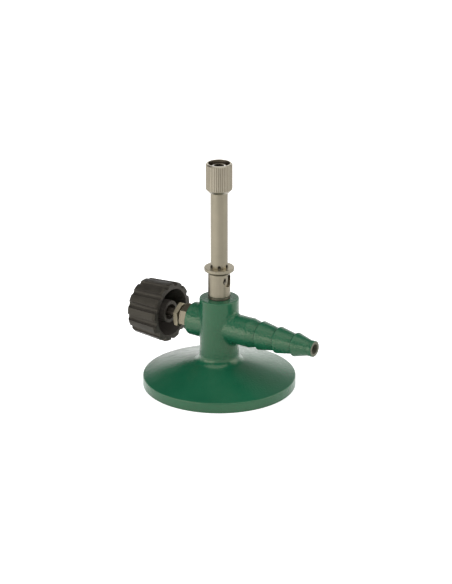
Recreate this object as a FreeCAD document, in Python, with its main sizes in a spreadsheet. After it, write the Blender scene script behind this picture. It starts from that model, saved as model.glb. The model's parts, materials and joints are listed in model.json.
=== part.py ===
import FreeCAD, Part
import os
import re
import Sketcher

# A small bench gas burner. A painted casting carries everything: a conical foot, a column, a stepped hose arm
# and a valve boss. A turned burner tube with a rotating air sleeve and a knurled flame head stands on the
# column, and a needle valve with a moulded knob closes the gas way.
# Millimetres, +Z up. The origin is the middle of the face it stands on. The hose arm points along +X and the
# valve along -X. Screw threads are plain cylinders at the thread's outer diameter.

SIZES = {
    # Foot
    "foot_diameter": 80.0,
    "foot_rim_height": 5.2,
    "foot_rise": 8.4,
    "foot_contact_width": 5.0,
    "foot_wall": 3.8,
    "foot_fillet": 4.5,
    "foot_edge_round": 0.6,
    # Column
    "column_diameter": 20.6,
    "column_height": 47.9,
    "column_edge_round": 0.5,
    # Hose arm, measured from the column's axis
    "arm_root_diameter": 15.5,
    "arm_root_reach": 20.5,
    "arm_fillet": 2.0,
    "first_barb_reach": 26.75,
    "barb_spacing": 10.6,
    "barb_step": 1.1,
    "barb_round": 0.5,
    "first_barb_diameter": 15.2,
    "second_barb_diameter": 14.0,
    "third_barb_diameter": 12.6,
    "hose_tip_length": 11.05,
    "hose_tip_land": 2.4,
    "hose_tip_step": 0.2,
    "hose_tip_diameter": 8.4,
    "hose_tip_round": 0.4,
    "hose_bore": 5.2,
    # Valve boss, measured from the column's axis
    "boss_diameter": 17.6,
    "boss_reach": 16.5,
    "boss_edge_round": 0.7,
    "boss_fillet": 0.8,
    # Fits
    "fit_clearance": 0.02,
    "running_clearance": 0.08,
    "thread_end_gap": 0.2,
    # Gas jet
    "jet_thread_diameter": 5.0,
    "jet_thread_length": 4.0,
    "jet_washer_thickness": 0.5,
    "jet_washer_diameter": 6.6,
    "jet_hex_flats": 5.4,
    "jet_hex_height": 3.0,
    "jet_nose_diameter": 4.0,
    "jet_nose_length": 4.5,
    "jet_cone_length": 2.2,
    "jet_mouth_diameter": 1.8,
    "jet_feed_bore": 2.0,
    "jet_orifice": 0.7,
    "jet_orifice_length": 1.0,
    "passage_diameter": 2.6,
    "passage_length": 1.4,
    # Burner tube
    "tube_thread_diameter": 10.0,
    "tube_thread_length": 6.0,
    "tube_washer_diameter": 11.4,
    "tube_washer_thickness": 0.4,
    "tube_collar_diameter": 11.0,
    "tube_collar_thickness": 0.8,
    "mixer_diameter": 9.4,
    "tube_diameter": 9.0,
    "tube_bore": 6.4,
    "tube_length": 56.3,
    "jet_space_diameter": 7.4,
    "tube_spigot_diameter": 7.6,
    "tube_spigot_length": 6.4,
    "port_diameter": 5.0,
    "port_turn": -38.0,
    "pilot_hole_diameter": 1.8,
    "pilot_hole_pairs": 3,
    "pilot_hole_rise": 1.0,
    "pilot_hole_turn": 5.0,
    # Air sleeve
    "sleeve_diameter": 11.6,
    "sleeve_length": 15.7,
    "sleeve_lip_thickness": 1.2,
    "sleeve_lip_gap": 0.3,
    "flange_diameter": 15.6,
    "flange_thickness": 1.6,
    "flange_flare": 1.6,
    "flange_edge_round": 0.25,
    "sleeve_foot_round": 0.5,
    "window_diameter": 6.5,
    "window_rise": 9.0,
    "spring_ring_rise": 1.4,
    "spring_wire": 0.72,
    "spring_groove_play": 0.06,
    "spring_ring_sweep": 325.0,
    # Flame head
    "head_diameter": 13.7,
    "head_length": 15.4,
    "head_foot_diameter": 10.4,
    "head_foot_chamfer": 1.8,
    "head_rim_diameter": 12.6,
    "head_rim_chamfer": 0.7,
    "head_recess_diameter": 11.2,
    "knurl_count": 44,
    "knurl_groove": 0.5,
    "nozzle_diameter": 7.4,
    "nozzle_bore": 5.2,
    "nozzle_rim_chamfer": 0.25,
    "nozzle_setback": 1.3,
    "nozzle_spigot_length": 4.0,
    "nozzle_hole_diameter": 1.2,
    "nozzle_hole_pairs": 3,
    "nozzle_hole_rise": 1.4,
    # Valve seat and needle
    "seat_diameter": 7.0,
    "seat_length": 4.0,
    "seat_shoulder_reach": 8.0,
    "seat_orifice": 2.5,
    "seat_sink_depth": 1.2,
    "seat_sink_diameter": 4.4,
    "needle_gap": 0.05,
    "needle_point_diameter": 0.7,
    "needle_cone_diameter": 3.4,
    "needle_cone_length": 5.0,
    "needle_shank_diameter": 4.4,
    "needle_tail_diameter": 2.8,
    "needle_tail_length": 3.5,
    "valve_lift": 2.5,
    # Bonnet and gland
    "bonnet_thread_diameter": 8.0,
    "bonnet_thread_length": 9.7,
    "bonnet_gasket_thickness": 0.5,
    "bonnet_gasket_diameter": 11.4,
    "valve_hex_flats": 12.2,
    "bonnet_hex_length": 4.5,
    "bonnet_hex_turn": 12.0,
    "bonnet_neck_diameter": 9.5,
    "bonnet_neck_length": 2.5,
    "bonnet_throat_length": 1.0,
    "packing_diameter": 7.4,
    "packing_length": 3.0,
    "gland_take_up": 0.3,
    "gland_nut_gap": 1.0,
    "gland_nut_wall": 0.8,
    "gland_nut_turn": -6.0,
    "hex_chamfer": 0.7,
    # Spindle
    "spindle_setback": 0.7,
    "spindle_thread_diameter": 6.0,
    "spindle_thread_length": 6.0,
    "spindle_stop_gap": 1.0,
    "stem_diameter": 4.6,
    "spindle_square": 3.2,
    # Knob
    "knob_gap": 5.2,
    "knob_rim_diameter": 32.2,
    "knob_end_diameter": 29.7,
    "knob_length": 18.9,
    "knob_wall": 3.5,
    "knob_rim_chamfer": 0.6,
    "knob_rim_chamfer_length": 1.2,
    "knob_end_round": 1.6,
    "knob_cavity_depth": 13.2,
    "knob_hub_diameter": 11.8,
    "knob_hub_setback": 1.1,
    "knob_web": 1.5,
    "flute_count": 13,
    "flute_cutter": 3.6,
    "flute_rim_depth": 2.0,
    "flute_end_depth": 1.9,
    "flute_phase": 12.8,
    "bush_diameter": 8.4,
    "bush_setback": 4.6,
    "bush_length": 8.0,
    "spindle_end_gap": 0.2,
    "knob_screw_diameter": 2.0,
    "knob_screw_length": 6.0,
    "knob_screw_hole_play": 0.2,
    "knob_screw_head_diameter": 4.0,
    "knob_screw_head_height": 1.3,
    "knob_screw_slot_width": 0.6,
    "knob_screw_slot_depth": 0.6,
    "knob_washer_diameter": 6.4,
    "knob_washer_thickness": 0.6,
    "knob_cap_diameter": 14.0,
    "knob_cap_thickness": 1.2,
    "knob_cap_sink": 0.2,
    "knob_cap_ledge": 0.8,
}

# Sizes that follow from the driving ones. Heights are above the ground, reaches are along -X from the column.
LAYOUT = {
    "foot_radius": "foot_diameter / 2",
    "column_radius": "column_diameter / 2",
    "cone_slope": "foot_rise / (foot_radius - column_radius)",
    "cone_top": "foot_rim_height + foot_rise",
    "hollow_radius": "foot_radius - foot_contact_width",
    "hollow_eave": "foot_rim_height + foot_contact_width * cone_slope - foot_wall",
    "hollow_top": "cone_top - foot_wall",
    "socket_floor": "column_height - tube_thread_length - thread_end_gap",
    "jet_thread_end": "socket_floor - jet_thread_length",
    "chamber_radius": "seat_diameter / 2 + fit_clearance",
    "valve_axis": "jet_thread_end - passage_length - chamber_radius",
    "second_barb_reach": "first_barb_reach + barb_spacing",
    "third_barb_reach": "second_barb_reach + barb_spacing",
    "hose_tip_reach": "third_barb_reach + hose_tip_length",
    "sleeve_seat": "tube_washer_thickness + tube_collar_thickness",
    "sleeve_bore_radius": "mixer_diameter / 2 + running_clearance",
    "mixer_length": "sleeve_length - sleeve_lip_thickness - sleeve_lip_gap",
    "head_seat": "sleeve_seat + tube_length",
    "spring_ring_radius": "sleeve_bore_radius - running_clearance - spring_wire / 2",
    "spring_groove_radius": "spring_ring_radius - spring_wire / 2 - spring_groove_play",
    "spring_groove_half": "spring_wire / 2 + spring_groove_play",
    "needle_slope": "(needle_cone_diameter - needle_point_diameter) / 2 / needle_cone_length",
    "seat_edge": "seat_sink_depth - seat_length + seat_shoulder_reach",
    "bonnet_inner_end": "boss_reach - bonnet_thread_length",
    "bonnet_seat": "boss_reach + bonnet_gasket_thickness",
    "bonnet_hex_end": "bonnet_seat + bonnet_hex_length",
    "bonnet_neck_end": "bonnet_hex_end + bonnet_neck_length",
    "spindle_inner_end": "bonnet_inner_end + spindle_setback",
    "spindle_thread_end": "spindle_inner_end + spindle_thread_length",
    "throat_start": "spindle_thread_end + valve_lift + spindle_stop_gap",
    "packing_floor": "throat_start + bonnet_throat_length",
    "follower_start": "packing_floor + packing_length",
    "follower_end": "bonnet_neck_end + gland_take_up",
    "gland_nut_start": "bonnet_hex_end + gland_nut_gap",
    "gland_nut_end": "follower_end + gland_nut_wall",
    "stem_hole_radius": "stem_diameter / 2 + running_clearance",
    "knob_plane": "gland_nut_end + knob_gap",
    "bush_plane": "knob_plane + knob_hub_setback + bush_setback",
    "bush_floor": "knob_hub_setback + bush_setback + bush_length",
    "screw_floor": "bush_floor + knob_web",
    "cap_floor": "knob_length - knob_cap_sink - knob_cap_thickness",
}

# How far a cutting outline runs past the face that it opens.
OVERRUN = 1.0
NEAR = 1e-4
FULL_TURN = 360

doc = FreeCAD.newDocument("burner")


def qualified(expression):
    """Name the owner of every size in an expression: the sheet for driving ones, the layout for the rest."""

    def owner(match):
        word = match.group(0)
        if word in SIZES:
            return "Sizes." + word
        if word in LAYOUT:
            return "Layout." + word
        return word

    return re.sub(r"[a-z_]+", owner, expression)


def make_sheet():
    sheet = doc.addObject("Spreadsheet::Sheet", "Sizes")
    for row, (alias, number) in enumerate(SIZES.items(), start=1):
        sheet.set(f"A{row}", alias)
        sheet.set(f"B{row}", str(number))
        sheet.setAlias(f"B{row}", alias)
    doc.recompute()


def make_layout():
    layout = doc.addObject("App::VarSet", "Layout")
    for name in LAYOUT:
        layout.addProperty("App::PropertyFloat", name, "Layout")
    for name, expression in LAYOUT.items():
        layout.setExpression(name, qualified(expression))
    doc.recompute()
    return layout


make_sheet()
layout = make_layout()


def value(expression):
    return float(layout.evalExpression(qualified(expression)))


def origin_plane(body, role):
    return [feature for feature in body.Origin.OriginFeatures if feature.Role == role][0]


def new_body(name):
    body = doc.addObject("PartDesign::Body", name)
    body.Label = name
    return body


def new_sketch(body, name, role):
    sketch = body.newObject("Sketcher::SketchObject", f"{body.Name}_{name}")
    sketch.AttachmentSupport = [(origin_plane(body, role), "")]
    sketch.MapMode = "FlatFace"
    return sketch


def bind(sketch, constraint, expression):
    index = sketch.addConstraint(constraint)
    sketch.setExpression(f"Constraints[{index}]", qualified(expression))


def outline_sketch(body, name, corners, role="XZ_Plane"):
    """A closed outline of straight lines on an origin plane, each corner bound to a pair of expressions."""
    sketch = new_sketch(body, name, role)
    points = [FreeCAD.Vector(value(across), value(along), 0) for across, along in corners]
    count = len(points)
    for index in range(count):
        sketch.addGeometry(Part.LineSegment(points[index], points[(index + 1) % count]), False)
    for index in range(count):
        sketch.addConstraint(Sketcher.Constraint("Coincident", index, 2, (index + 1) % count, 1))
    for index, (across, along) in enumerate(corners):
        bind(sketch, Sketcher.Constraint("DistanceX", index, 1, points[index].x), across)
        bind(sketch, Sketcher.Constraint("DistanceY", index, 1, points[index].y), along)
    return sketch


def circle_sketch(body, name, role, across, along, diameter):
    """A circle on an origin plane, with its centre and diameter bound to expressions."""
    sketch = new_sketch(body, name, role)
    centre = FreeCAD.Vector(value(across), value(along), 0)
    sketch.addGeometry(Part.Circle(centre, FreeCAD.Vector(0, 0, 1), value(diameter) / 2), False)
    bind(sketch, Sketcher.Constraint("Diameter", 0, value(diameter)), diameter)
    bind(sketch, Sketcher.Constraint("DistanceX", 0, 3, centre.x), across)
    bind(sketch, Sketcher.Constraint("DistanceY", 0, 3, centre.y), along)
    return sketch


def turn(body, name, corners, kind="Revolution", axis="V_Axis"):
    """Turn an outline about an axis of its sketch, as added material or as a cut."""
    sketch = outline_sketch(body, name + "_outline", corners)
    feature = body.newObject("PartDesign::" + kind, f"{body.Name}_{name}")
    feature.Profile = sketch
    feature.ReferenceAxis = (sketch, [axis])
    feature.Angle = FULL_TURN
    return sketch


def turn_on_valve_axis(body, name, corners, kind="Revolution"):
    """Turn an outline of (reach along +X, radius) corners about the valve's axis."""
    sketch = turn(body, name, corners, kind, "H_Axis")
    sketch.setExpression("AttachmentOffset.Base.y", qualified("valve_axis"))


def turned(name, corners):
    """A piece turned about its own Z axis from an outline of (radius, height) corners."""
    body = new_body(name)
    turn(body, "turned", corners)
    return body


def ring(name, inner_radius, outer_radius, thickness):
    """A flat ring that stands on its own XY plane."""
    return turned(name, [
        (inner_radius, "0"),
        (outer_radius, "0"),
        (outer_radius, thickness),
        (inner_radius, thickness),
    ])


def cut_through(body, name, sketch):
    """Cut a sketch's outline right through the piece, both ways from the sketch's plane."""
    pocket = body.newObject("PartDesign::Pocket", f"{body.Name}_{name}")
    pocket.Profile = sketch
    pocket.Type = "ThroughAll"
    pocket.Midplane = True
    return pocket


def cross_holes(body, name, height, diameter, turned_by="0"):
    """A hole right through the piece, square to its axis at a height, turned about the axis."""
    sketch = circle_sketch(body, name + "_circle", "YZ_Plane", "0", height, diameter)
    sketch.AttachmentOffset = FreeCAD.Placement(
        FreeCAD.Vector(0, 0, 0), FreeCAD.Rotation(FreeCAD.Vector(0, 1, 0), value(turned_by))
    )
    sketch.setExpression("AttachmentOffset.Rotation.Angle", qualified(turned_by))
    return cut_through(body, name, sketch)


def spread(body, feature, count, angle):
    """Repeat a feature about the body's axis."""
    pattern = body.newObject("PartDesign::PolarPattern", feature.Name + "_pattern")
    pattern.Originals = [feature]
    pattern.Axis = (body.Group[0], ["V_Axis"])
    pattern.setExpression("Angle", qualified(angle))
    pattern.setExpression("Occurrences", qualified(count))
    body.Tip = pattern
    return pattern


def bar(body, kind, name, sides, flats, start, length, turned_by="0"):
    """A length of square or six-sided bar about the body's axis, added or cut away."""
    prism = body.newObject(f"PartDesign::{kind}Prism", f"{body.Name}_{name}")
    prism.AttachmentSupport = [(origin_plane(body, "XY_Plane"), "")]
    prism.MapMode = "FlatFace"
    prism.AttachmentOffset = FreeCAD.Placement(
        FreeCAD.Vector(0, 0, 0), FreeCAD.Rotation(FreeCAD.Vector(0, 0, 1), value(turned_by))
    )
    prism.Polygon = sides
    prism.setExpression("Circumradius", qualified(f"({flats}) / 2 / cos({FULL_TURN / 2} / {sides})"))
    prism.setExpression("Height", qualified(length))
    prism.setExpression("AttachmentOffset.Base.z", qualified(start))
    prism.setExpression("AttachmentOffset.Rotation.Angle", qualified(turned_by))


def hexagon(body, name, flats, start, length, turned_by="0"):
    bar(body, "Additive", name, 6, flats, start, length, turned_by)


def round_edges(body, name, radius, chosen):
    """Round those edges of the body's present shape that a test picks out."""
    doc.recompute()
    base = body.Tip
    names = [f"Edge{number}" for number, edge in enumerate(base.Shape.Edges, start=1) if chosen(edge)]
    if not names:
        raise RuntimeError(f"{body.Name}: no edge to round for {name}")
    fillet = body.newObject("PartDesign::Fillet", f"{body.Name}_{name}")
    fillet.Base = (base, names)
    fillet.setExpression("Radius", qualified(radius))
    doc.recompute()


def ring_at(radius, height, direction="z"):
    """A test for circular edges of one radius, centred at one height along a direction."""
    wanted_radius = value(radius)
    wanted_height = value(height)

    def chosen(edge):
        curve = edge.Curve
        if not isinstance(curve, Part.Circle):
            return False
        along_axis = abs(getattr(curve.Axis, direction)) > 1 - NEAR
        same_radius = abs(curve.Radius - wanted_radius) < NEAR
        return along_axis and same_radius and abs(getattr(curve.Center, direction) - wanted_height) < NEAR

    return chosen


def junction(radius, side):
    """A test for the curves where a branch on one side in X leaves a column of one radius."""
    wanted = value(radius)

    def chosen(edge):
        if isinstance(edge.Curve, (Part.Circle, Part.Line)):
            return False
        points = edge.discretize(9)
        on_column = all(abs((point.x**2 + point.y**2) ** 0.5 - wanted) < NEAR * 10 for point in points)
        return on_column and all(point.x * side > 0 for point in points)

    return chosen


def any_of(*tests):
    return lambda edge: any(test(edge) for test in tests)


def stand_at(body, height):
    """Set a piece on the column's axis with its own XY plane at a height."""
    body.setExpression("Placement.Base.z", qualified(height))


def lie_at(body, reach):
    """Lay a piece on the valve's axis, its own Z along -X, with its own XY plane at a reach."""
    body.Placement = FreeCAD.Placement(
        FreeCAD.Vector(0, 0, 0), FreeCAD.Rotation(FreeCAD.Vector(0, 1, 0), -90)
    )
    body.setExpression("Placement.Base.x", qualified(f"-({reach})"))
    body.setExpression("Placement.Base.z", qualified("valve_axis"))


def make_base_casting():
    body = new_body("base_casting")
    turn(body, "foot", [
        ("0", "hollow_top"),
        ("column_radius", "hollow_top"),
        ("hollow_radius", "hollow_eave"),
        ("hollow_radius", "0"),
        ("foot_radius", "0"),
        ("foot_radius", "foot_rim_height"),
        ("column_radius", "cone_top"),
        ("column_radius", "column_height"),
        ("0", "column_height"),
    ])
    barbs = [
        ("first_barb_reach", "first_barb_diameter"),
        ("second_barb_reach", "second_barb_diameter"),
        ("third_barb_reach", "third_barb_diameter"),
    ]
    arm = [("0", "0"), ("0", "arm_root_diameter / 2"), ("arm_root_reach", "arm_root_diameter / 2")]
    for reach, diameter in barbs:
        arm.append((f"{reach} - barb_step", f"{diameter} / 2 - barb_step"))
        arm.append((reach, f"{diameter} / 2"))
    land = "hose_tip_reach - hose_tip_land"
    arm += [
        (f"{land} - hose_tip_step", "hose_tip_diameter / 2 - hose_tip_step"),
        (land, "hose_tip_diameter / 2"),
        ("hose_tip_reach", "hose_tip_diameter / 2"),
        ("hose_tip_reach", "0"),
    ]
    boss = [
        ("-boss_reach", "0"),
        ("-boss_reach", "boss_diameter / 2"),
        ("0", "boss_diameter / 2"),
        ("0", "0"),
    ]
    turn_on_valve_axis(body, "arm", arm)
    turn_on_valve_axis(body, "boss", boss)
    round_edges(body, "foot_fillet", "foot_fillet", ring_at("column_radius", "cone_top"))
    round_edges(body, "arm_fillet", "arm_fillet", junction("column_radius", 1))
    round_edges(body, "boss_fillet", "boss_fillet", junction("column_radius", -1))
    round_edges(body, "foot_edge", "foot_edge_round", ring_at("foot_radius", "foot_rim_height"))
    round_edges(body, "column_edge", "column_edge_round", ring_at("column_radius", "column_height"))
    round_edges(body, "boss_edge", "boss_edge_round", ring_at("boss_diameter / 2", "-boss_reach", "x"))
    crests = [ring_at(f"{diameter} / 2", reach, "x") for reach, diameter in barbs]
    round_edges(body, "barb_crests", "barb_round", any_of(*crests))
    round_edges(body, "tip_edge", "hose_tip_round", ring_at("hose_tip_diameter / 2", "hose_tip_reach", "x"))
    # Gas way along the cross piece: hose bore, valve chamber and the bonnet's thread
    thread_radius = "bonnet_thread_diameter / 2 + fit_clearance"
    thread_floor = "thread_end_gap - bonnet_inner_end"
    turn_on_valve_axis(body, "gas_way", [
        (f"hose_tip_reach + {OVERRUN}", "0"),
        (f"hose_tip_reach + {OVERRUN}", "hose_bore / 2"),
        ("seat_shoulder_reach", "hose_bore / 2"),
        ("seat_shoulder_reach", "chamber_radius"),
        (thread_floor, "chamber_radius"),
        (thread_floor, thread_radius),
        (f"-boss_reach - {OVERRUN}", thread_radius),
        (f"-boss_reach - {OVERRUN}", "0"),
    ], kind="Groove")
    # Gas way up the column: passage, the jet's thread and the tube's thread
    turn(body, "tube_socket", [
        ("0", "valve_axis"),
        ("passage_diameter / 2", "valve_axis"),
        ("passage_diameter / 2", "jet_thread_end"),
        ("jet_thread_diameter / 2 + fit_clearance", "jet_thread_end"),
        ("jet_thread_diameter / 2 + fit_clearance", "socket_floor"),
        ("tube_thread_diameter / 2 + fit_clearance", "socket_floor"),
        ("tube_thread_diameter / 2 + fit_clearance", f"column_height + {OVERRUN}"),
        ("0", f"column_height + {OVERRUN}"),
    ], kind="Groove")
    return body


def make_gas_jet():
    hex_end = "jet_washer_thickness + jet_hex_height"
    nose_end = f"{hex_end} + jet_nose_length"
    mouth = f"{nose_end} + jet_cone_length"
    feed_end = f"{mouth} - jet_orifice_length"
    body = turned("gas_jet", [
        ("0", "-jet_thread_length"),
        ("jet_thread_diameter / 2", "-jet_thread_length"),
        ("jet_thread_diameter / 2", hex_end),
        ("jet_nose_diameter / 2", hex_end),
        ("jet_nose_diameter / 2", nose_end),
        ("jet_mouth_diameter / 2", mouth),
        ("0", mouth),
    ])
    hexagon(body, "hex", "jet_hex_flats", "jet_washer_thickness", "jet_hex_height")
    turn(body, "bore", [
        ("0", f"-jet_thread_length - {OVERRUN}"),
        ("jet_feed_bore / 2", f"-jet_thread_length - {OVERRUN}"),
        ("jet_feed_bore / 2", f"{feed_end} - (jet_feed_bore - jet_orifice) / 2"),
        ("jet_orifice / 2", feed_end),
        ("jet_orifice / 2", f"{mouth} + {OVERRUN}"),
        ("0", f"{mouth} + {OVERRUN}"),
    ], kind="Groove")
    stand_at(body, "socket_floor")
    return body


def make_jet_washer():
    body = ring(
        "jet_washer",
        "jet_thread_diameter / 2 + fit_clearance",
        "jet_washer_diameter / 2",
        "jet_washer_thickness",
    )
    stand_at(body, "socket_floor")
    return body


def make_tube_washer():
    body = ring(
        "tube_washer",
        "tube_thread_diameter / 2 + fit_clearance",
        "tube_washer_diameter / 2",
        "tube_washer_thickness",
    )
    stand_at(body, "column_height")
    return body


def make_burner_tube():
    groove_middle = "sleeve_seat + spring_ring_rise"
    mixer_top = "sleeve_seat + mixer_length"
    spigot_top = "head_seat + tube_spigot_length"
    body = turned("burner_tube", [
        ("jet_space_diameter / 2", "-tube_thread_length"),
        ("tube_thread_diameter / 2", "-tube_thread_length"),
        ("tube_thread_diameter / 2", "tube_washer_thickness"),
        ("tube_collar_diameter / 2", "tube_washer_thickness"),
        ("tube_collar_diameter / 2", "sleeve_seat"),
        ("mixer_diameter / 2", "sleeve_seat"),
        ("mixer_diameter / 2", f"{groove_middle} - spring_groove_half"),
        ("spring_groove_radius", f"{groove_middle} - spring_groove_half"),
        ("spring_groove_radius", f"{groove_middle} + spring_groove_half"),
        ("mixer_diameter / 2", f"{groove_middle} + spring_groove_half"),
        ("mixer_diameter / 2", mixer_top),
        ("tube_diameter / 2", mixer_top),
        ("tube_diameter / 2", "head_seat"),
        ("tube_spigot_diameter / 2", "head_seat"),
        ("tube_spigot_diameter / 2", spigot_top),
        ("tube_bore / 2", spigot_top),
        ("tube_bore / 2", "tube_washer_thickness"),
        ("jet_space_diameter / 2", "0"),
    ])
    cross_holes(body, "air_ports", "sleeve_seat + window_rise", "port_diameter", "port_turn")
    pilot_height = "sleeve_seat + sleeve_length + pilot_hole_rise"
    pilots = cross_holes(body, "pilot_holes", pilot_height, "pilot_hole_diameter", "pilot_hole_turn")
    spread(body, pilots, "pilot_hole_pairs", f"{FULL_TURN / 2} * (1 - 1 / pilot_hole_pairs)")
    stand_at(body, "column_height")
    return body


def make_air_sleeve():
    lip_radius = "tube_diameter / 2 + running_clearance"
    lip_floor = "sleeve_length - sleeve_lip_thickness"
    flange_floor = "sleeve_length - flange_thickness"
    body = turned("air_sleeve", [
        ("sleeve_bore_radius", "0"),
        ("sleeve_diameter / 2", "0"),
        ("sleeve_diameter / 2", f"{flange_floor} - flange_flare"),
        ("flange_diameter / 2", flange_floor),
        ("flange_diameter / 2", "sleeve_length"),
        (lip_radius, "sleeve_length"),
        (lip_radius, lip_floor),
        ("sleeve_bore_radius", lip_floor),
    ])
    rims = [ring_at("flange_diameter / 2", height) for height in (flange_floor, "sleeve_length")]
    round_edges(body, "flange_edge", "flange_edge_round", any_of(*rims))
    wall = "sleeve_diameter / 2 - sleeve_bore_radius"
    foot_round = f"min(sleeve_foot_round; ({wall}) / 2)"
    round_edges(body, "sleeve_foot", foot_round, ring_at("sleeve_diameter / 2", "0"))
    cross_holes(body, "windows", "window_rise", "window_diameter")
    stand_at(body, "column_height + sleeve_seat")
    return body


def make_sleeve_spring_ring():
    torus = doc.addObject("Part::Torus", "sleeve_spring_ring")
    torus.Label = "sleeve_spring_ring"
    torus.setExpression("Radius1", qualified("spring_ring_radius"))
    torus.setExpression("Radius2", qualified("spring_wire / 2"))
    torus.setExpression("Angle3", qualified("spring_ring_sweep"))
    stand_at(torus, "column_height + sleeve_seat + spring_ring_rise")
    return torus


def make_flame_head():
    body = turned("flame_head", [
        ("tube_spigot_diameter / 2 + fit_clearance", "0"),
        ("head_foot_diameter / 2", "0"),
        ("head_diameter / 2", "head_foot_chamfer"),
        ("head_diameter / 2", "head_length - head_rim_chamfer"),
        ("head_rim_diameter / 2", "head_length"),
        ("head_recess_diameter / 2", "head_length"),
        ("head_recess_diameter / 2", "tube_spigot_length"),
        ("tube_spigot_diameter / 2 + fit_clearance", "tube_spigot_length"),
    ])
    circle = circle_sketch(body, "knurl_circle", "XY_Plane", "head_diameter / 2", "0", "knurl_groove")
    cut = body.newObject("PartDesign::Pocket", "flame_head_knurl")
    cut.Profile = circle
    cut.Type = "ThroughAll"
    cut.Reversed = True
    spread(body, cut, "knurl_count", str(FULL_TURN))
    stand_at(body, "column_height + head_seat")
    return body


def make_flame_nozzle():
    spigot_radius = "tube_bore / 2 - fit_clearance"
    top = "head_length - nozzle_setback - tube_spigot_length"
    body = turned("flame_nozzle", [
        ("nozzle_bore / 2", "-nozzle_spigot_length"),
        (spigot_radius, "-nozzle_spigot_length"),
        (spigot_radius, "0"),
        ("nozzle_diameter / 2", "0"),
        ("nozzle_diameter / 2", f"{top} - nozzle_rim_chamfer"),
        ("nozzle_diameter / 2 - nozzle_rim_chamfer", top),
        ("nozzle_bore / 2", top),
    ])
    holes = cross_holes(body, "feed_holes", "nozzle_hole_rise", "nozzle_hole_diameter")
    spread(body, holes, "nozzle_hole_pairs", f"{FULL_TURN / 2} * (1 - 1 / nozzle_hole_pairs)")
    stand_at(body, "column_height + head_seat + tube_spigot_length")
    return body


def make_valve_seat():
    sink_floor = "seat_length - seat_sink_depth"
    body = turned("valve_seat", [
        ("seat_orifice / 2", "0"),
        ("seat_diameter / 2", "0"),
        ("seat_diameter / 2", "seat_length"),
        ("seat_sink_diameter / 2", "seat_length"),
        ("seat_orifice / 2", sink_floor),
    ])
    lie_at(body, "-seat_shoulder_reach")
    return body


def make_needle_tip():
    # The cone fills the orifice but for the needle gap where the seat's edge is
    edge = "-seat_edge - spindle_inner_end"
    cone_end = f"{edge} + (needle_cone_diameter / 2 - seat_orifice / 2 + needle_gap) / needle_slope"
    body = turned("needle_tip", [
        ("0", f"{cone_end} - needle_cone_length"),
        ("needle_point_diameter / 2", f"{cone_end} - needle_cone_length"),
        ("needle_cone_diameter / 2", cone_end),
        ("needle_shank_diameter / 2", cone_end),
        ("needle_shank_diameter / 2", "0"),
        ("needle_tail_diameter / 2", "0"),
        ("needle_tail_diameter / 2", "needle_tail_length"),
        ("0", "needle_tail_length"),
    ])
    lie_at(body, "spindle_inner_end")
    return body


def make_bonnet_gasket():
    body = ring(
        "bonnet_gasket",
        "bonnet_thread_diameter / 2 + fit_clearance",
        "bonnet_gasket_diameter / 2",
        "bonnet_gasket_thickness",
    )
    lie_at(body, "boss_reach")
    return body


def chamfer_hexagon(body, name, end, away):
    """Turn the corners off one end of a hexagon; away is 1 where the bar runs towards +Z from that end."""
    corner = "valve_hex_flats / sqrt(3)"
    turn(body, name, [
        (f"{corner} - hex_chamfer", end),
        (f"{corner} + {OVERRUN}", end),
        (f"{corner} + {OVERRUN}", f"{end} + ({away}) * (hex_chamfer + {OVERRUN}) / 2"),
    ], kind="Groove")


def make_valve_bonnet():
    # Heights are from the face that presses on the gasket
    throat_start = "throat_start - bonnet_seat"
    packing_floor = "packing_floor - bonnet_seat"
    neck_end = "bonnet_hex_length + bonnet_neck_length"
    inner_end = "bonnet_inner_end - bonnet_seat"
    body = turned("valve_bonnet", [
        ("0", inner_end),
        ("bonnet_thread_diameter / 2", inner_end),
        ("bonnet_thread_diameter / 2", "bonnet_hex_length"),
        ("bonnet_neck_diameter / 2", "bonnet_hex_length"),
        ("bonnet_neck_diameter / 2", neck_end),
        ("0", neck_end),
    ])
    hexagon(body, "hex", "valve_hex_flats", "0", "bonnet_hex_length", "bonnet_hex_turn")
    chamfer_hexagon(body, "chamfer", "bonnet_hex_length", "-1")
    thread_radius = "spindle_thread_diameter / 2 + running_clearance"
    turn(body, "bore", [
        ("0", f"{inner_end} - {OVERRUN}"),
        (thread_radius, f"{inner_end} - {OVERRUN}"),
        (thread_radius, throat_start),
        ("stem_hole_radius", throat_start),
        ("stem_hole_radius", packing_floor),
        ("packing_diameter / 2", packing_floor),
        ("packing_diameter / 2", f"{neck_end} + {OVERRUN}"),
        ("0", f"{neck_end} + {OVERRUN}"),
    ], kind="Groove")
    lie_at(body, "bonnet_seat")
    return body


def make_stem_packing():
    body = ring("stem_packing", "stem_hole_radius", "packing_diameter / 2 - fit_clearance", "packing_length")
    lie_at(body, "packing_floor")
    return body


def make_gland_follower():
    length = "follower_end - follower_start"
    body = ring("gland_follower", "stem_hole_radius", "packing_diameter / 2 - fit_clearance", length)
    lie_at(body, "follower_start")
    return body


def make_gland_nut():
    length = "gland_nut_end - gland_nut_start"
    floor = "follower_end - gland_nut_start"
    body = new_body("gland_nut")
    hexagon(body, "hex", "valve_hex_flats", "0", length, "gland_nut_turn")
    neck_radius = "bonnet_neck_diameter / 2 + fit_clearance"
    turn(body, "thread", [
        ("0", f"-{OVERRUN}"),
        (neck_radius, f"-{OVERRUN}"),
        (neck_radius, floor),
        ("stem_hole_radius", floor),
        ("stem_hole_radius", f"{length} + {OVERRUN}"),
        ("0", f"{length} + {OVERRUN}"),
    ], kind="Groove")
    chamfer_hexagon(body, "outer_chamfer", length, "-1")
    chamfer_hexagon(body, "inner_chamfer", "0", "1")
    lie_at(body, "gland_nut_start")
    return body


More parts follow.
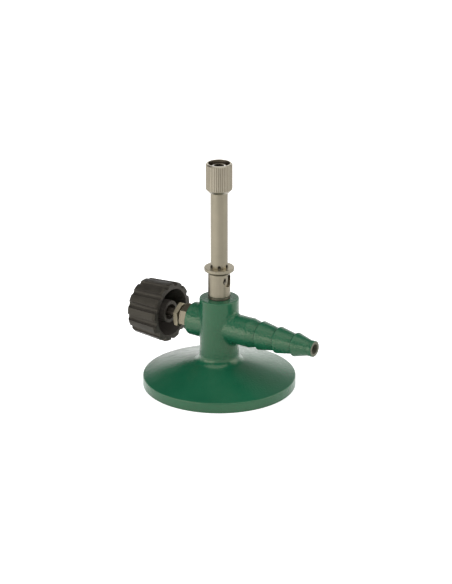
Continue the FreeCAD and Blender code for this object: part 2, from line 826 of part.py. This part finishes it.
def make_valve_spindle():
    shoulder = "bush_plane - spindle_inner_end"
    square_length = "bush_length - spindle_end_gap"
    body = turned("valve_spindle", [
        ("0", "needle_tail_length + thread_end_gap"),
        ("needle_tail_diameter / 2 + running_clearance", "needle_tail_length + thread_end_gap"),
        ("needle_tail_diameter / 2 + running_clearance", "0"),
        ("spindle_thread_diameter / 2", "0"),
        ("spindle_thread_diameter / 2", "spindle_thread_length"),
        ("stem_diameter / 2", "spindle_thread_length"),
        ("stem_diameter / 2", shoulder),
        ("0", shoulder),
    ])
    bar(body, "Additive", "square", 4, "spindle_square", shoulder, square_length)
    end = f"{shoulder} + {square_length}"
    screw_radius = "knob_screw_diameter / 2 + fit_clearance"
    screw_depth = "knob_screw_length - knob_web - spindle_end_gap + thread_end_gap"
    turn(body, "screw_hole", [
        ("0", f"{end} - ({screw_depth})"),
        (screw_radius, f"{end} - ({screw_depth})"),
        (screw_radius, f"{end} + {OVERRUN}"),
        ("0", f"{end} + {OVERRUN}"),
    ], kind="Groove")
    lie_at(body, "spindle_inner_end")
    return body


def make_knob_bush():
    body = turned("knob_bush", [
        ("0", "0"),
        ("bush_diameter / 2", "0"),
        ("bush_diameter / 2", "bush_length"),
        ("0", "bush_length"),
    ])
    hole_flats = "spindle_square + 2 * fit_clearance"
    bar(body, "Subtractive", "square_hole", 4, hole_flats, "0", "bush_length")
    lie_at(body, "bush_plane")
    return body


def make_valve_knob():
    cavity_radius = "knob_rim_diameter / 2 - knob_wall"
    screw_hole_radius = "knob_screw_diameter / 2 + knob_screw_hole_play"
    taper = "(knob_rim_diameter - knob_end_diameter) / 2 / knob_length"
    body = turned("valve_knob", [
        (screw_hole_radius, "bush_floor"),
        ("bush_diameter / 2 + fit_clearance", "bush_floor"),
        ("bush_diameter / 2 + fit_clearance", "knob_hub_setback"),
        ("knob_hub_diameter / 2", "knob_hub_setback"),
        ("knob_hub_diameter / 2", "knob_cavity_depth"),
        (f"{cavity_radius} - knob_cavity_depth * {taper}", "knob_cavity_depth"),
        (cavity_radius, "0"),
        ("knob_rim_diameter / 2 - knob_rim_chamfer", "0"),
        (f"knob_rim_diameter / 2 - knob_rim_chamfer_length * {taper}", "knob_rim_chamfer_length"),
        ("knob_end_diameter / 2", "knob_length"),
        ("knob_cap_diameter / 2 + fit_clearance", "knob_length"),
        ("knob_cap_diameter / 2 + fit_clearance", "cap_floor"),
        ("knob_cap_diameter / 2 - knob_cap_ledge", "cap_floor"),
        ("knob_cap_diameter / 2 - knob_cap_ledge", "screw_floor"),
        (screw_hole_radius, "screw_floor"),
    ])
    round_edges(body, "end_edge", "knob_end_round", ring_at("knob_end_diameter / 2", "knob_length"))
    # Each flute is a round cutter that follows the knob's taper
    flute_ends = [
        ("flute_start", "0", "knob_rim_diameter / 2 + flute_cutter / 2 - flute_rim_depth"),
        ("flute_end", "knob_length", "knob_end_diameter / 2 + flute_cutter / 2 - flute_end_depth"),
    ]
    sections = []
    for name, height, centre in flute_ends:
        section = circle_sketch(body, name, "XY_Plane", centre, "0", "flute_cutter")
        section.AttachmentOffset = FreeCAD.Placement(
            FreeCAD.Vector(0, 0, 0), FreeCAD.Rotation(FreeCAD.Vector(0, 0, 1), value("flute_phase"))
        )
        section.setExpression("AttachmentOffset.Base.z", qualified(height))
        section.setExpression("AttachmentOffset.Rotation.Angle", qualified("flute_phase"))
        sections.append(section)
    flute = body.newObject("PartDesign::SubtractiveLoft", "valve_knob_flute")
    flute.Profile = sections[0]
    flute.Sections = sections[1:]
    flute.Ruled = True
    spread(body, flute, "flute_count", str(FULL_TURN))
    lie_at(body, "knob_plane")
    return body


def make_knob_screw():
    # Heights are from the underside of the head
    body = turned("knob_screw", [
        ("0", "-knob_screw_length"),
        ("knob_screw_diameter / 2", "-knob_screw_length"),
        ("knob_screw_diameter / 2", "0"),
        ("knob_screw_head_diameter / 2", "0"),
        ("knob_screw_head_diameter / 2", "knob_screw_head_height"),
        ("0", "knob_screw_head_height"),
    ])
    slot_floor = "knob_screw_head_height - knob_screw_slot_depth"
    slot = outline_sketch(body, "slot_outline", [
        ("-knob_screw_slot_width / 2", slot_floor),
        ("knob_screw_slot_width / 2", slot_floor),
        ("knob_screw_slot_width / 2", f"knob_screw_head_height + {OVERRUN}"),
        ("-knob_screw_slot_width / 2", f"knob_screw_head_height + {OVERRUN}"),
    ], role="YZ_Plane")
    cut_through(body, "slot", slot)
    lie_at(body, "knob_plane + screw_floor + knob_washer_thickness")
    return body


def make_knob_screw_washer():
    body = ring(
        "knob_screw_washer",
        "knob_screw_diameter / 2 + knob_screw_hole_play",
        "knob_washer_diameter / 2",
        "knob_washer_thickness",
    )
    lie_at(body, "knob_plane + screw_floor")
    return body


def make_knob_cap():
    body = turned("knob_cap", [
        ("0", "0"),
        ("knob_cap_diameter / 2", "0"),
        ("knob_cap_diameter / 2", "knob_cap_thickness"),
        ("0", "knob_cap_thickness"),
    ])
    lie_at(body, "knob_plane + cap_floor")
    return body


pieces = [
    make_base_casting(),
    make_gas_jet(),
    make_jet_washer(),
    make_tube_washer(),
    make_burner_tube(),
    make_air_sleeve(),
    make_sleeve_spring_ring(),
    make_flame_head(),
    make_flame_nozzle(),
    make_valve_seat(),
    make_needle_tip(),
    make_bonnet_gasket(),
    make_valve_bonnet(),
    make_stem_packing(),
    make_gland_follower(),
    make_gland_nut(),
    make_valve_spindle(),
    make_knob_bush(),
    make_valve_knob(),
    make_knob_screw(),
    make_knob_screw_washer(),
    make_knob_cap(),
]
doc.recompute()

for item in doc.Objects:
    if "Invalid" in item.State or "Error" in item.State:
        raise RuntimeError(f"{item.Name} failed: {item.State}")
for piece in pieces:
    if piece.Shape.isNull() or not piece.Shape.isValid() or len(piece.Shape.Solids) != 1:
        raise RuntimeError(f"{piece.Label} isn't one valid solid")

os.makedirs("parts", exist_ok=True)
for piece in pieces:
    piece.Shape.exportStep(f"parts/{piece.Label}.step")
    box = piece.Shape.BoundBox
    print(f"{piece.Label:20s} {piece.Shape.Volume:10.2f} mm3  X {box.XMin:7.2f} {box.XMax:7.2f}  "
          f"Y {box.YMin:7.2f} {box.YMax:7.2f}  Z {box.ZMin:7.2f} {box.ZMax:7.2f}")
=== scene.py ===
"""Looks of a bench gas burner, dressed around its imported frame. Metres, +Z up, hose arm along +X."""
import json
import math

import bpy
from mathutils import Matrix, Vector

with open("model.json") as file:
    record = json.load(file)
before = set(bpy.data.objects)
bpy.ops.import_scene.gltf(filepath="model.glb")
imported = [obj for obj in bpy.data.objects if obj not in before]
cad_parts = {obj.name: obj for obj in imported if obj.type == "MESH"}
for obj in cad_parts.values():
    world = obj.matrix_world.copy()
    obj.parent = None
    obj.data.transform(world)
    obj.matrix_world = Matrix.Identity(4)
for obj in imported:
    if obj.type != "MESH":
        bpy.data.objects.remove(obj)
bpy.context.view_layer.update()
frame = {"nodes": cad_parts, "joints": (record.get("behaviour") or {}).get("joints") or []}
nodes = frame["nodes"]
joints = {joint["name"]: joint for joint in frame["joints"]}
scene = bpy.context.scene

# Camera, fitted to the photograph
IMAGE_HEIGHT_PX = 584
FOCAL_PX = 2279
SENSOR_HEIGHT_MM = 24.0
CAMERA_AZIMUTH = math.radians(34.85)
CAMERA_REACH = 1.1
CAMERA_HEIGHT = 0.4753
AIM_HEIGHT = 0.0508
AIM_RIGHT = 0.0035

# Lamps face a point near the column's top
LAMP_AIM = Vector((0, 0, 0.05))

# Floor: a wide sheet just under the foot, whose glow falls across the object towards a dim side
FLOOR_HALF = 6.0
FLOOR_LEVEL = -0.0002
FLOOR_COLOUR = (0.82, 0.82, 0.82, 1)
DIM_SIDE_AZIMUTH = CAMERA_AZIMUTH + math.radians(65)
BRIGHT_DISTANCE = -0.12
DIM_DISTANCE = 0.10
BRIGHT_GLOW = 0.9
DIM_GLOW = 0.5

# Sky: white up to one height and dim from another, as sines of the elevation
SKY_WHITE_HEIGHT = 0.22
SKY_DIM_HEIGHT = 0.40
SKY_DIM = (0.03, 0.03, 0.03, 1)
SKY_STRENGTH = 1.3

WHITE = (1, 1, 1, 1)

# Tint of the soft mirror image on paint and plastic
WARM_SHEEN = (1.0, 0.90, 0.68, 1.0)

# The gas way along the hose arm and the valve is bored after painting
VALVE_AXIS_HEIGHT = joints["knob_turn"]["pos_m"][2]
BARE_RADIUS = 0.0038
PAINTED_RADIUS = 0.0040

# The casting's grain shows on the arm and the boss, and fades out further from the valve's axis
GRAINY_RADIUS = 0.009
SMOOTH_RADIUS = 0.011

# Nearly all of a noise's values lie between these two
NOISE_LOW = 0.3
NOISE_HIGH = 0.7

# Rays that the edge and corner masks send out
EDGE_RAYS = 6
CORNER_RAYS = 8

# Places of the Mix node's sockets, whose names repeat for each kind of value
NUMBER_A, NUMBER_B, NUMBER_RESULT = 2, 3, 0
COLOUR_A, COLOUR_B, COLOUR_RESULT = 6, 7, 2


def add_node(tree, kind, **settings):
    """A shader node with its inputs set by name; a setting that isn't an input is a property of the node."""
    node = tree.nodes.new(kind)
    for name, setting in settings.items():
        socket = name.replace("_", " ")
        if socket in node.inputs:
            node.inputs[socket].default_value = setting
        else:
            setattr(node, name, setting)
    return node


def new_material(name, **settings):
    """A material with a Principled shader whose inputs are set by name."""
    material = bpy.data.materials.new(name)
    material.use_nodes = True
    tree = material.node_tree
    shader = tree.nodes["Principled BSDF"]
    for setting, value in settings.items():
        shader.inputs[setting.replace("_", " ")].default_value = value
    return material, tree, shader


def noise(tree, scale, detail, stretch=(1, 1, 1)):
    """Noise in the row frame; scale is in features per metre, stretched per axis."""
    place = add_node(tree, "ShaderNodeTexCoord")
    mapping = add_node(tree, "ShaderNodeMapping", Scale=stretch)
    texture = add_node(tree, "ShaderNodeTexNoise", Scale=scale, Detail=detail)
    tree.links.new(place.outputs["Object"], mapping.inputs["Vector"])
    tree.links.new(mapping.outputs["Vector"], texture.inputs["Vector"])
    return texture.outputs["Fac"]


def map_range(tree, source, start, end, low=0.0, high=1.0):
    """Turn a value that goes from start to end into one that goes from low to high and stays there."""
    ranged = add_node(tree, "ShaderNodeMapRange", From_Min=start, From_Max=end, To_Min=low, To_Max=high)
    tree.links.new(source, ranged.inputs["Value"])
    return ranged.outputs["Result"]


def spread(tree, source, low=0.0, high=1.0):
    """Stretch the middle of a 0 to 1 value over a range, as a roughness or a mixing share."""
    return map_range(tree, source, NOISE_LOW, NOISE_HIGH, low, high)


def blend_colours(tree, share, first, second):
    """Mix two colours by a share socket, where 1 gives the second; each one is a tuple or a socket."""
    mix = add_node(tree, "ShaderNodeMix", data_type="RGBA")
    tree.links.new(share, mix.inputs["Factor"])
    for place, colour in ((COLOUR_A, first), (COLOUR_B, second)):
        if isinstance(colour, tuple):
            mix.inputs[place].default_value = (*colour, 1.0)
        else:
            tree.links.new(colour, mix.inputs[place])
    return mix.outputs[COLOUR_RESULT]


def blend_values(tree, share, number, source):
    """Mix a plain number and a value socket by a share socket, where 1 gives the socket's value."""
    mix = add_node(tree, "ShaderNodeMix")
    tree.links.new(share, mix.inputs["Factor"])
    mix.inputs[NUMBER_A].default_value = number
    tree.links.new(source, mix.inputs[NUMBER_B])
    return mix.outputs[NUMBER_RESULT]


def bump(tree, shader, height, depth, strength, under=None):
    """Tilt the shader's normal by a height socket times a depth in metres, on top of another bump."""
    node = add_node(tree, "ShaderNodeBump", Strength=strength, Distance=depth)
    tree.links.new(height, node.inputs["Height"])
    if under is not None:
        tree.links.new(under, node.inputs["Normal"])
    tree.links.new(node.outputs["Normal"], shader.inputs["Normal"])
    return node.outputs["Normal"]


def edge_mask(tree, radius, most):
    """A share that grows from 0 to most where the surface turns sharply within a radius."""
    flat_cosine = 1.0
    sharp_cosine = 0.75
    rounded = add_node(tree, "ShaderNodeBevel", Radius=radius, samples=EDGE_RAYS)
    surface = add_node(tree, "ShaderNodeNewGeometry")
    cosine = add_node(tree, "ShaderNodeVectorMath", operation="DOT_PRODUCT")
    tree.links.new(rounded.outputs["Normal"], cosine.inputs[0])
    tree.links.new(surface.outputs["Normal"], cosine.inputs[1])
    return map_range(tree, cosine.outputs["Value"], flat_cosine, sharp_cosine, high=most)


def valve_axis_share(tree, zero_at, one_at):
    """A share that goes from 0 to 1 between two distances from the valve's axis, in metres."""
    place = add_node(tree, "ShaderNodeTexCoord")
    offset = add_node(tree, "ShaderNodeVectorMath", operation="SUBTRACT")
    offset.inputs[1].default_value = (0, 0, VALVE_AXIS_HEIGHT)
    across = add_node(tree, "ShaderNodeVectorMath", operation="MULTIPLY")
    across.inputs[1].default_value = (0, 1, 1)
    distance = add_node(tree, "ShaderNodeVectorMath", operation="LENGTH")
    tree.links.new(place.outputs["Object"], offset.inputs[0])
    tree.links.new(offset.outputs["Vector"], across.inputs[0])
    tree.links.new(across.outputs["Vector"], distance.inputs[0])
    return map_range(tree, distance.outputs["Value"], zero_at, one_at)


def facing_up(tree):
    """A share that is 1 on level faces that look up and 0 on walls and steep slopes."""
    slope_rise = 0.8
    level_rise = 0.97
    surface = add_node(tree, "ShaderNodeNewGeometry")
    split = add_node(tree, "ShaderNodeSeparateXYZ")
    tree.links.new(surface.outputs["Normal"], split.inputs["Vector"])
    return map_range(tree, split.outputs["Z"], slope_rise, level_rise)


def openness(tree, reach):
    """A share that is 1 in the open and falls in corners within a reach."""
    shade = add_node(tree, "ShaderNodeAmbientOcclusion", Distance=reach, samples=CORNER_RAYS)
    return shade.outputs["AO"]


def make_enamel():
    """Glossy stoved enamel: wavy, with painted shade in corners, thin paint and a painted highlight on edges,
    and grainy on the arm and the boss.
    """
    deep_green = (0.007, 0.094, 0.046)
    pale_green = (0.010, 0.108, 0.053)
    painted_shade_green = (0.005, 0.060, 0.029)
    thin_paint_highlight_green = (0.07, 0.15, 0.09)
    bare_metal = (0.11, 0.115, 0.085)
    bare_roughness = 0.6
    no_grain = 0.5
    material, tree, shader = new_material("green_enamel", Specular_Tint=WARM_SHEEN)
    painted = valve_axis_share(tree, zero_at=BARE_RADIUS, one_at=PAINTED_RADIUS)
    patches = spread(tree, noise(tree, scale=45, detail=3))
    green = blend_colours(tree, patches, deep_green, pale_green)
    # Painted shade: the green darkens in corners and creases
    green = blend_colours(tree, openness(tree, reach=0.003), painted_shade_green, green)
    # Edges: paler where the paint is thin, and partly a painted highlight
    green = blend_colours(tree, edge_mask(tree, radius=0.0006, most=0.35), green, thin_paint_highlight_green)
    tree.links.new(blend_colours(tree, painted, bare_metal, green), shader.inputs["Base Color"])
    gloss = spread(tree, noise(tree, scale=180, detail=4), low=0.19, high=0.27)
    tree.links.new(blend_values(tree, painted, bare_roughness, gloss), shader.inputs["Roughness"])
    waves = bump(tree, shader, noise(tree, scale=260, detail=2), depth=0.00012, strength=0.5)
    peel = bump(tree, shader, noise(tree, scale=900, detail=2), depth=0.00022, strength=0.5, under=waves)
    near_axis = valve_axis_share(tree, zero_at=SMOOTH_RADIUS, one_at=GRAINY_RADIUS)
    grain = blend_values(tree, near_axis, no_grain, noise(tree, scale=1100, detail=2))
    bump(tree, shader, grain, depth=0.0003, strength=0.9, under=peel)
    return material


def make_nickel(name, axis, colour=(0.262, 0.235, 0.176), smooth=0.28, rough=0.42, heated=False):
    """Satin nickel or steel on a turned piece: fine rings round its axis and faint warm tarnish.

    Level faces of upright pieces are painted brighter, as painted light from above. A heated piece is stained
    brown in its hollow by the flame.
    """
    tarnish_gain = 0.8
    painted_light_gain = 2.2
    painted_light_limit = 0.9
    painted_shade_nickel = (0.21, 0.182, 0.13)
    flame_stain = (0.12, 0.075, 0.035)
    rings = (1, 1, 90) if axis == "z" else (90, 1, 1)
    upright_streaks = (1, 1, 0.02)
    material, tree, shader = new_material(name, Metallic=1.0)
    dark = tuple(tarnish_gain * channel for channel in colour)
    tarnish = spread(tree, noise(tree, scale=120, detail=5), high=0.7)
    metal = blend_colours(tree, tarnish, colour, dark)
    streaks = spread(tree, noise(tree, scale=700, detail=2, stretch=upright_streaks), high=0.5)
    metal = blend_colours(tree, streaks, metal, dark)
    # Painted light: level faces that look up are painted brighter
    if axis == "z":
        painted_light_top = tuple(min(painted_light_limit, painted_light_gain * channel) for channel in colour)
        metal = blend_colours(tree, facing_up(tree), metal, painted_light_top)
    # Painted shade: the nickel darkens in corners and creases
    metal = blend_colours(tree, openness(tree, reach=0.0008), painted_shade_nickel, metal)
    if heated:
        metal = blend_colours(tree, openness(tree, reach=0.008), flame_stain, metal)
    tree.links.new(metal, shader.inputs["Base Color"])
    roughness = spread(tree, noise(tree, scale=60, detail=4, stretch=rings), smooth, rough)
    tree.links.new(roughness, shader.inputs["Roughness"])
    bump(tree, shader, noise(tree, scale=70, detail=3, stretch=rings), depth=0.00002, strength=0.4)
    return material


def make_plastic():
    """Moulded dark plastic, dusty in patches, with painted shade in its corners, painted light that makes its
    hollow paler, and edges rubbed paler and given a painted highlight.
    """
    clean_black = (0.020, 0.0180, 0.0152)
    dusty_black = (0.030, 0.0271, 0.0231)
    painted_shade_black = (0.016, 0.0143, 0.0125)
    # Paler colour for the knob's hollow: painted light
    painted_light_hollow = (0.09, 0.081, 0.072)
    rubbed_highlight_edge = (0.10, 0.09, 0.08)
    material, tree, shader = new_material(
        "moulded_plastic", Specular_IOR_Level=0.30, Specular_Tint=WARM_SHEEN
    )
    dust = spread(tree, noise(tree, scale=150, detail=5))
    black = blend_colours(tree, dust, clean_black, dusty_black)
    # Painted shade: the plastic darkens in corners
    black = blend_colours(tree, openness(tree, reach=0.002), painted_shade_black, black)
    # Painted light: the hollow is painted paler, as if more light reached into it
    outside = spread(tree, openness(tree, reach=0.03))
    black = blend_colours(tree, outside, painted_light_hollow, black)
    # Edges: rubbed paler, and partly a painted highlight
    black = blend_colours(tree, edge_mask(tree, radius=0.0005, most=0.25), black, rubbed_highlight_edge)
    tree.links.new(black, shader.inputs["Base Color"])
    roughness = spread(tree, noise(tree, scale=300, detail=4), low=0.42, high=0.58)
    tree.links.new(roughness, shader.inputs["Roughness"])
    bump(tree, shader, noise(tree, scale=2600, detail=3), depth=0.00003, strength=0.5)
    return material


def make_brass():
    """Bare turned brass with brown stains."""
    clean_brass = (0.78, 0.58, 0.28)
    stained_brass = (0.60, 0.42, 0.18)
    material, tree, shader = new_material("bare_brass", Metallic=1.0, Roughness=0.3)
    stain = spread(tree, noise(tree, scale=200, detail=4))
    tree.links.new(blend_colours(tree, stain, clean_brass, stained_brass), shader.inputs["Base Color"])
    bump(tree, shader, noise(tree, scale=900, detail=3), depth=0.00002, strength=0.4)
    return material


def make_fibre(name, pale, dark):
    """Pressed fibre or packing: matt and speckled."""
    material, tree, shader = new_material(name, Roughness=0.85)
    speckle = spread(tree, noise(tree, scale=2200, detail=4))
    tree.links.new(blend_colours(tree, speckle, pale, dark), shader.inputs["Base Color"])
    bump(tree, shader, noise(tree, scale=1800, detail=3), depth=0.00005, strength=0.6)
    return material


nickel_upright = make_nickel("satin_nickel_upright", "z")
nickel_knurled = make_nickel("knurled_nickel", "z", colour=(0.36, 0.33, 0.262), heated=True)
# A darker, rougher copy of the satin nickel for the bonnet: painted shade that dims its bright facets
nickel_lying_shaded = make_nickel("satin_nickel_lying_shaded", "x", colour=(0.20, 0.176, 0.128), smooth=0.38, rough=0.52)
# A paler copy of the satin nickel for the gland nut: painted light that lifts its dark facets
nickel_gland_lit = make_nickel("gland_nickel_lit", "x", colour=(0.33, 0.292, 0.205), smooth=0.38, rough=0.52)
steel_dark = make_nickel("dark_stem_steel", "x", colour=(0.24, 0.21, 0.17), smooth=0.35, rough=0.5)
nickel_polished = make_nickel("polished_nickel", "z", colour=(0.75, 0.70, 0.60), smooth=0.12, rough=0.2)
steel = make_nickel("wire_steel", "z", colour=(0.30, 0.29, 0.28))
enamel = make_enamel()
plastic = make_plastic()
brass = make_brass()
fibre = make_fibre("dark_fibre", pale=(0.035, 0.030, 0.026), dark=(0.015, 0.013, 0.012))
fibre_brown = make_fibre("brown_fibre", pale=(0.07, 0.052, 0.033), dark=(0.04, 0.03, 0.02))
packing = make_fibre("white_packing", pale=(0.80, 0.79, 0.75), dark=(0.70, 0.69, 0.65))

FINISHES = {
    "base_casting": enamel,
    "gas_jet": brass,
    "jet_washer": fibre,
    "tube_washer": fibre_brown,
    "burner_tube": nickel_upright,
    "air_sleeve": nickel_upright,
    "sleeve_spring_ring": steel,
    "flame_head": nickel_knurled,
    "flame_nozzle": nickel_polished,
    "valve_seat": brass,
    "needle_tip": brass,
    "bonnet_gasket": fibre,
    "valve_bonnet": nickel_lying_shaded,
    "stem_packing": packing,
    "gland_follower": brass,
    "gland_nut": nickel_gland_lit,
    "valve_spindle": steel_dark,
    "knob_bush": brass,
    "valve_knob": plastic,
    "knob_screw": steel,
    "knob_screw_washer": steel,
    "knob_cap": plastic,
}
for node_name, finish in FINISHES.items():
    slots = nodes[node_name].data.materials
    slots.clear()
    slots.append(finish)


def level_direction(azimuth):
    """Level direction from the object towards a viewer at an azimuth."""
    return Vector((math.sin(azimuth), -math.cos(azimuth), 0))


def make_paper():
    """White paper that glows to direct and mirrored views, most at the back left, as if by a window."""
    material, tree, shader = new_material(
        "white_paper", Roughness=0.9, Base_Color=FLOOR_COLOUR, Emission_Color=WHITE
    )
    place = add_node(tree, "ShaderNodeTexCoord")
    along = add_node(tree, "ShaderNodeVectorMath", operation="DOT_PRODUCT")
    along.inputs[1].default_value = level_direction(DIM_SIDE_AZIMUTH)
    tree.links.new(place.outputs["Object"], along.inputs[0])
    window = map_range(tree, along.outputs["Value"], BRIGHT_DISTANCE, DIM_DISTANCE, BRIGHT_GLOW, DIM_GLOW)
    path = add_node(tree, "ShaderNodeLightPath")
    seen = path.outputs["Is Camera Ray"]
    for ray in ("Is Glossy Ray", "Is Transmission Ray"):
        either = add_node(tree, "ShaderNodeMath", operation="MAXIMUM")
        tree.links.new(seen, either.inputs[0])
        tree.links.new(path.outputs[ray], either.inputs[1])
        seen = either.outputs["Value"]
    glow = add_node(tree, "ShaderNodeMath", operation="MULTIPLY")
    tree.links.new(seen, glow.inputs[0])
    tree.links.new(window, glow.inputs[1])
    tree.links.new(glow.outputs["Value"], shader.inputs["Emission Strength"])
    return material


def make_floor():
    """A wide square floor of white paper."""
    mesh = bpy.data.meshes.new("floor")
    corners = [(x * FLOOR_HALF, y * FLOOR_HALF, FLOOR_LEVEL) for x, y in ((-1, -1), (1, -1), (1, 1), (-1, 1))]
    mesh.from_pydata(corners, [], [(0, 1, 2, 3)])
    mesh.materials.append(make_paper())
    floor = bpy.data.objects.new("floor", mesh)
    scene.collection.objects.link(floor)


def make_world():
    """A bright studio: white round the horizon, dimmer overhead."""
    world = bpy.data.worlds.new("studio")
    world.use_nodes = True
    scene.world = world
    tree = world.node_tree
    place = add_node(tree, "ShaderNodeTexCoord")
    split = add_node(tree, "ShaderNodeSeparateXYZ")
    sky = add_node(tree, "ShaderNodeValToRGB")
    sky.color_ramp.interpolation = "EASE"
    horizon, overhead = sky.color_ramp.elements
    horizon.position = SKY_WHITE_HEIGHT
    horizon.color = WHITE
    overhead.position = SKY_DIM_HEIGHT
    overhead.color = SKY_DIM
    background = tree.nodes["Background"]
    background.inputs["Strength"].default_value = SKY_STRENGTH
    tree.links.new(place.outputs["Generated"], split.inputs["Vector"])
    tree.links.new(split.outputs["Z"], sky.inputs["Fac"])
    tree.links.new(sky.outputs["Color"], background.inputs["Color"])


def make_softbox(name, azimuth, reach, height, size, power):
    """A rectangular lamp that faces the object from an azimuth counted from the camera's, in degrees."""
    lamp = bpy.data.lights.new(name, "AREA")
    lamp.shape = "RECTANGLE"
    lamp.size, lamp.size_y = size
    lamp.energy = power
    piece = bpy.data.objects.new(name, lamp)
    direction = level_direction(CAMERA_AZIMUTH + math.radians(azimuth))
    piece.location = direction * reach + Vector((0, 0, height))
    piece.visible_camera = False
    piece.rotation_euler = (LAMP_AIM - piece.location).to_track_quat("-Z", "Y").to_euler()
    scene.collection.objects.link(piece)


def make_camera():
    """The photograph's camera: its azimuth, its height and its field of view."""
    lens = bpy.data.cameras.new("camera")
    lens.sensor_fit = "VERTICAL"
    lens.sensor_height = SENSOR_HEIGHT_MM
    lens.lens = FOCAL_PX / IMAGE_HEIGHT_PX * SENSOR_HEIGHT_MM
    camera = bpy.data.objects.new("camera", lens)
    towards = level_direction(CAMERA_AZIMUTH)
    right = Vector((-towards.y, towards.x, 0))
    aim = right * AIM_RIGHT
    camera.location = aim + towards * CAMERA_REACH + Vector((0, 0, CAMERA_HEIGHT))
    aim += Vector((0, 0, AIM_HEIGHT))
    camera.rotation_euler = (aim - camera.location).to_track_quat("-Z", "Y").to_euler()
    scene.collection.objects.link(camera)
    scene.camera = camera


make_floor()
make_world()
make_softbox("left_softbox", azimuth=-58, reach=1.2, height=0.28, size=(1.5, 0.55), power=6.2)
make_softbox("right_softbox", azimuth=85, reach=1.2, height=0.5, size=(1.2, 0.9), power=6.5)
make_softbox("top_softbox", azimuth=0, reach=0.3, height=1.4, size=(2.4, 1.6), power=19)
make_softbox("back_softbox", azimuth=160, reach=1.4, height=0.77, size=(1.2, 1.0), power=1.2)
make_camera()
scene.view_settings.view_transform = "Standard"
